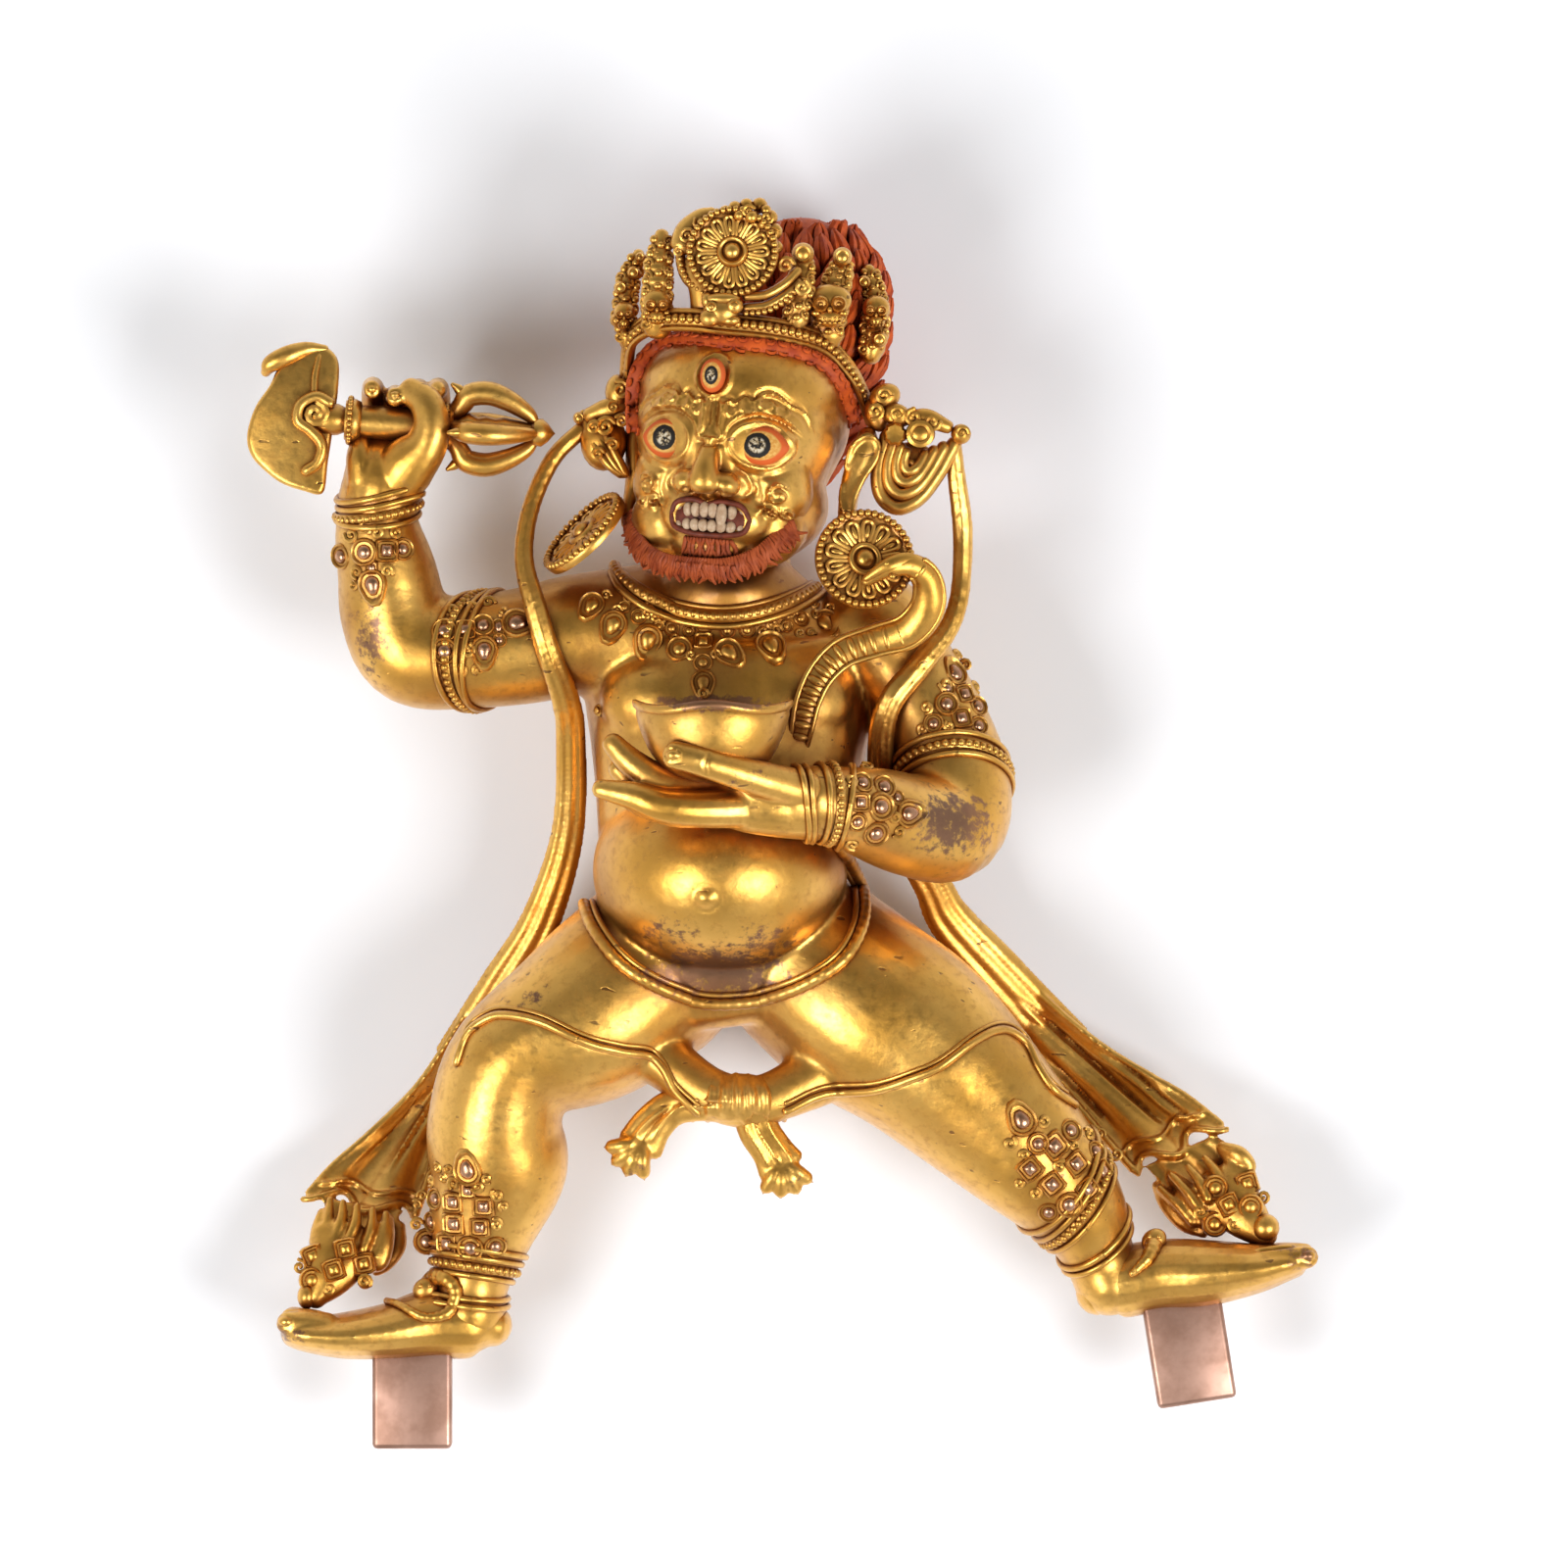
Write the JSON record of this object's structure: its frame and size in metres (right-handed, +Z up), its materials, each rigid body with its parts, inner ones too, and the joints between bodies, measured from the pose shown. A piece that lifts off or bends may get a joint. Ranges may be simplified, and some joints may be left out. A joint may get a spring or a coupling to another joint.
{
  "type": "vajrapani statue",
  "caption": "Gilt copper guardian figure in a lunging stance, with a skull cup, a scarf and a separate chopper, lying on its back; two foot tenons fit a lost base.",
  "frame": {"origin": "on the surface that the figure lies on, under the middle of its box", "axes": "+X to the viewer's right, +Y up the body from the tenons to the hair, +Z up from the surface through the belly and the face"},
  "size_m": [0.2738, 0.3188, 0.1102],
  "materials": {
    "fire_gilt": "burnished fire gilding on copper, rubbed on the belly, elbow and knee",
    "gilt_of_the_chopper": "fire gilding on copper, duller than the figure's"
  },
  "bodies": {
    "root": {"figure": "fire_gilt", "chopper": "gilt_of_the_chopper"}
  },
  "joints": []
}
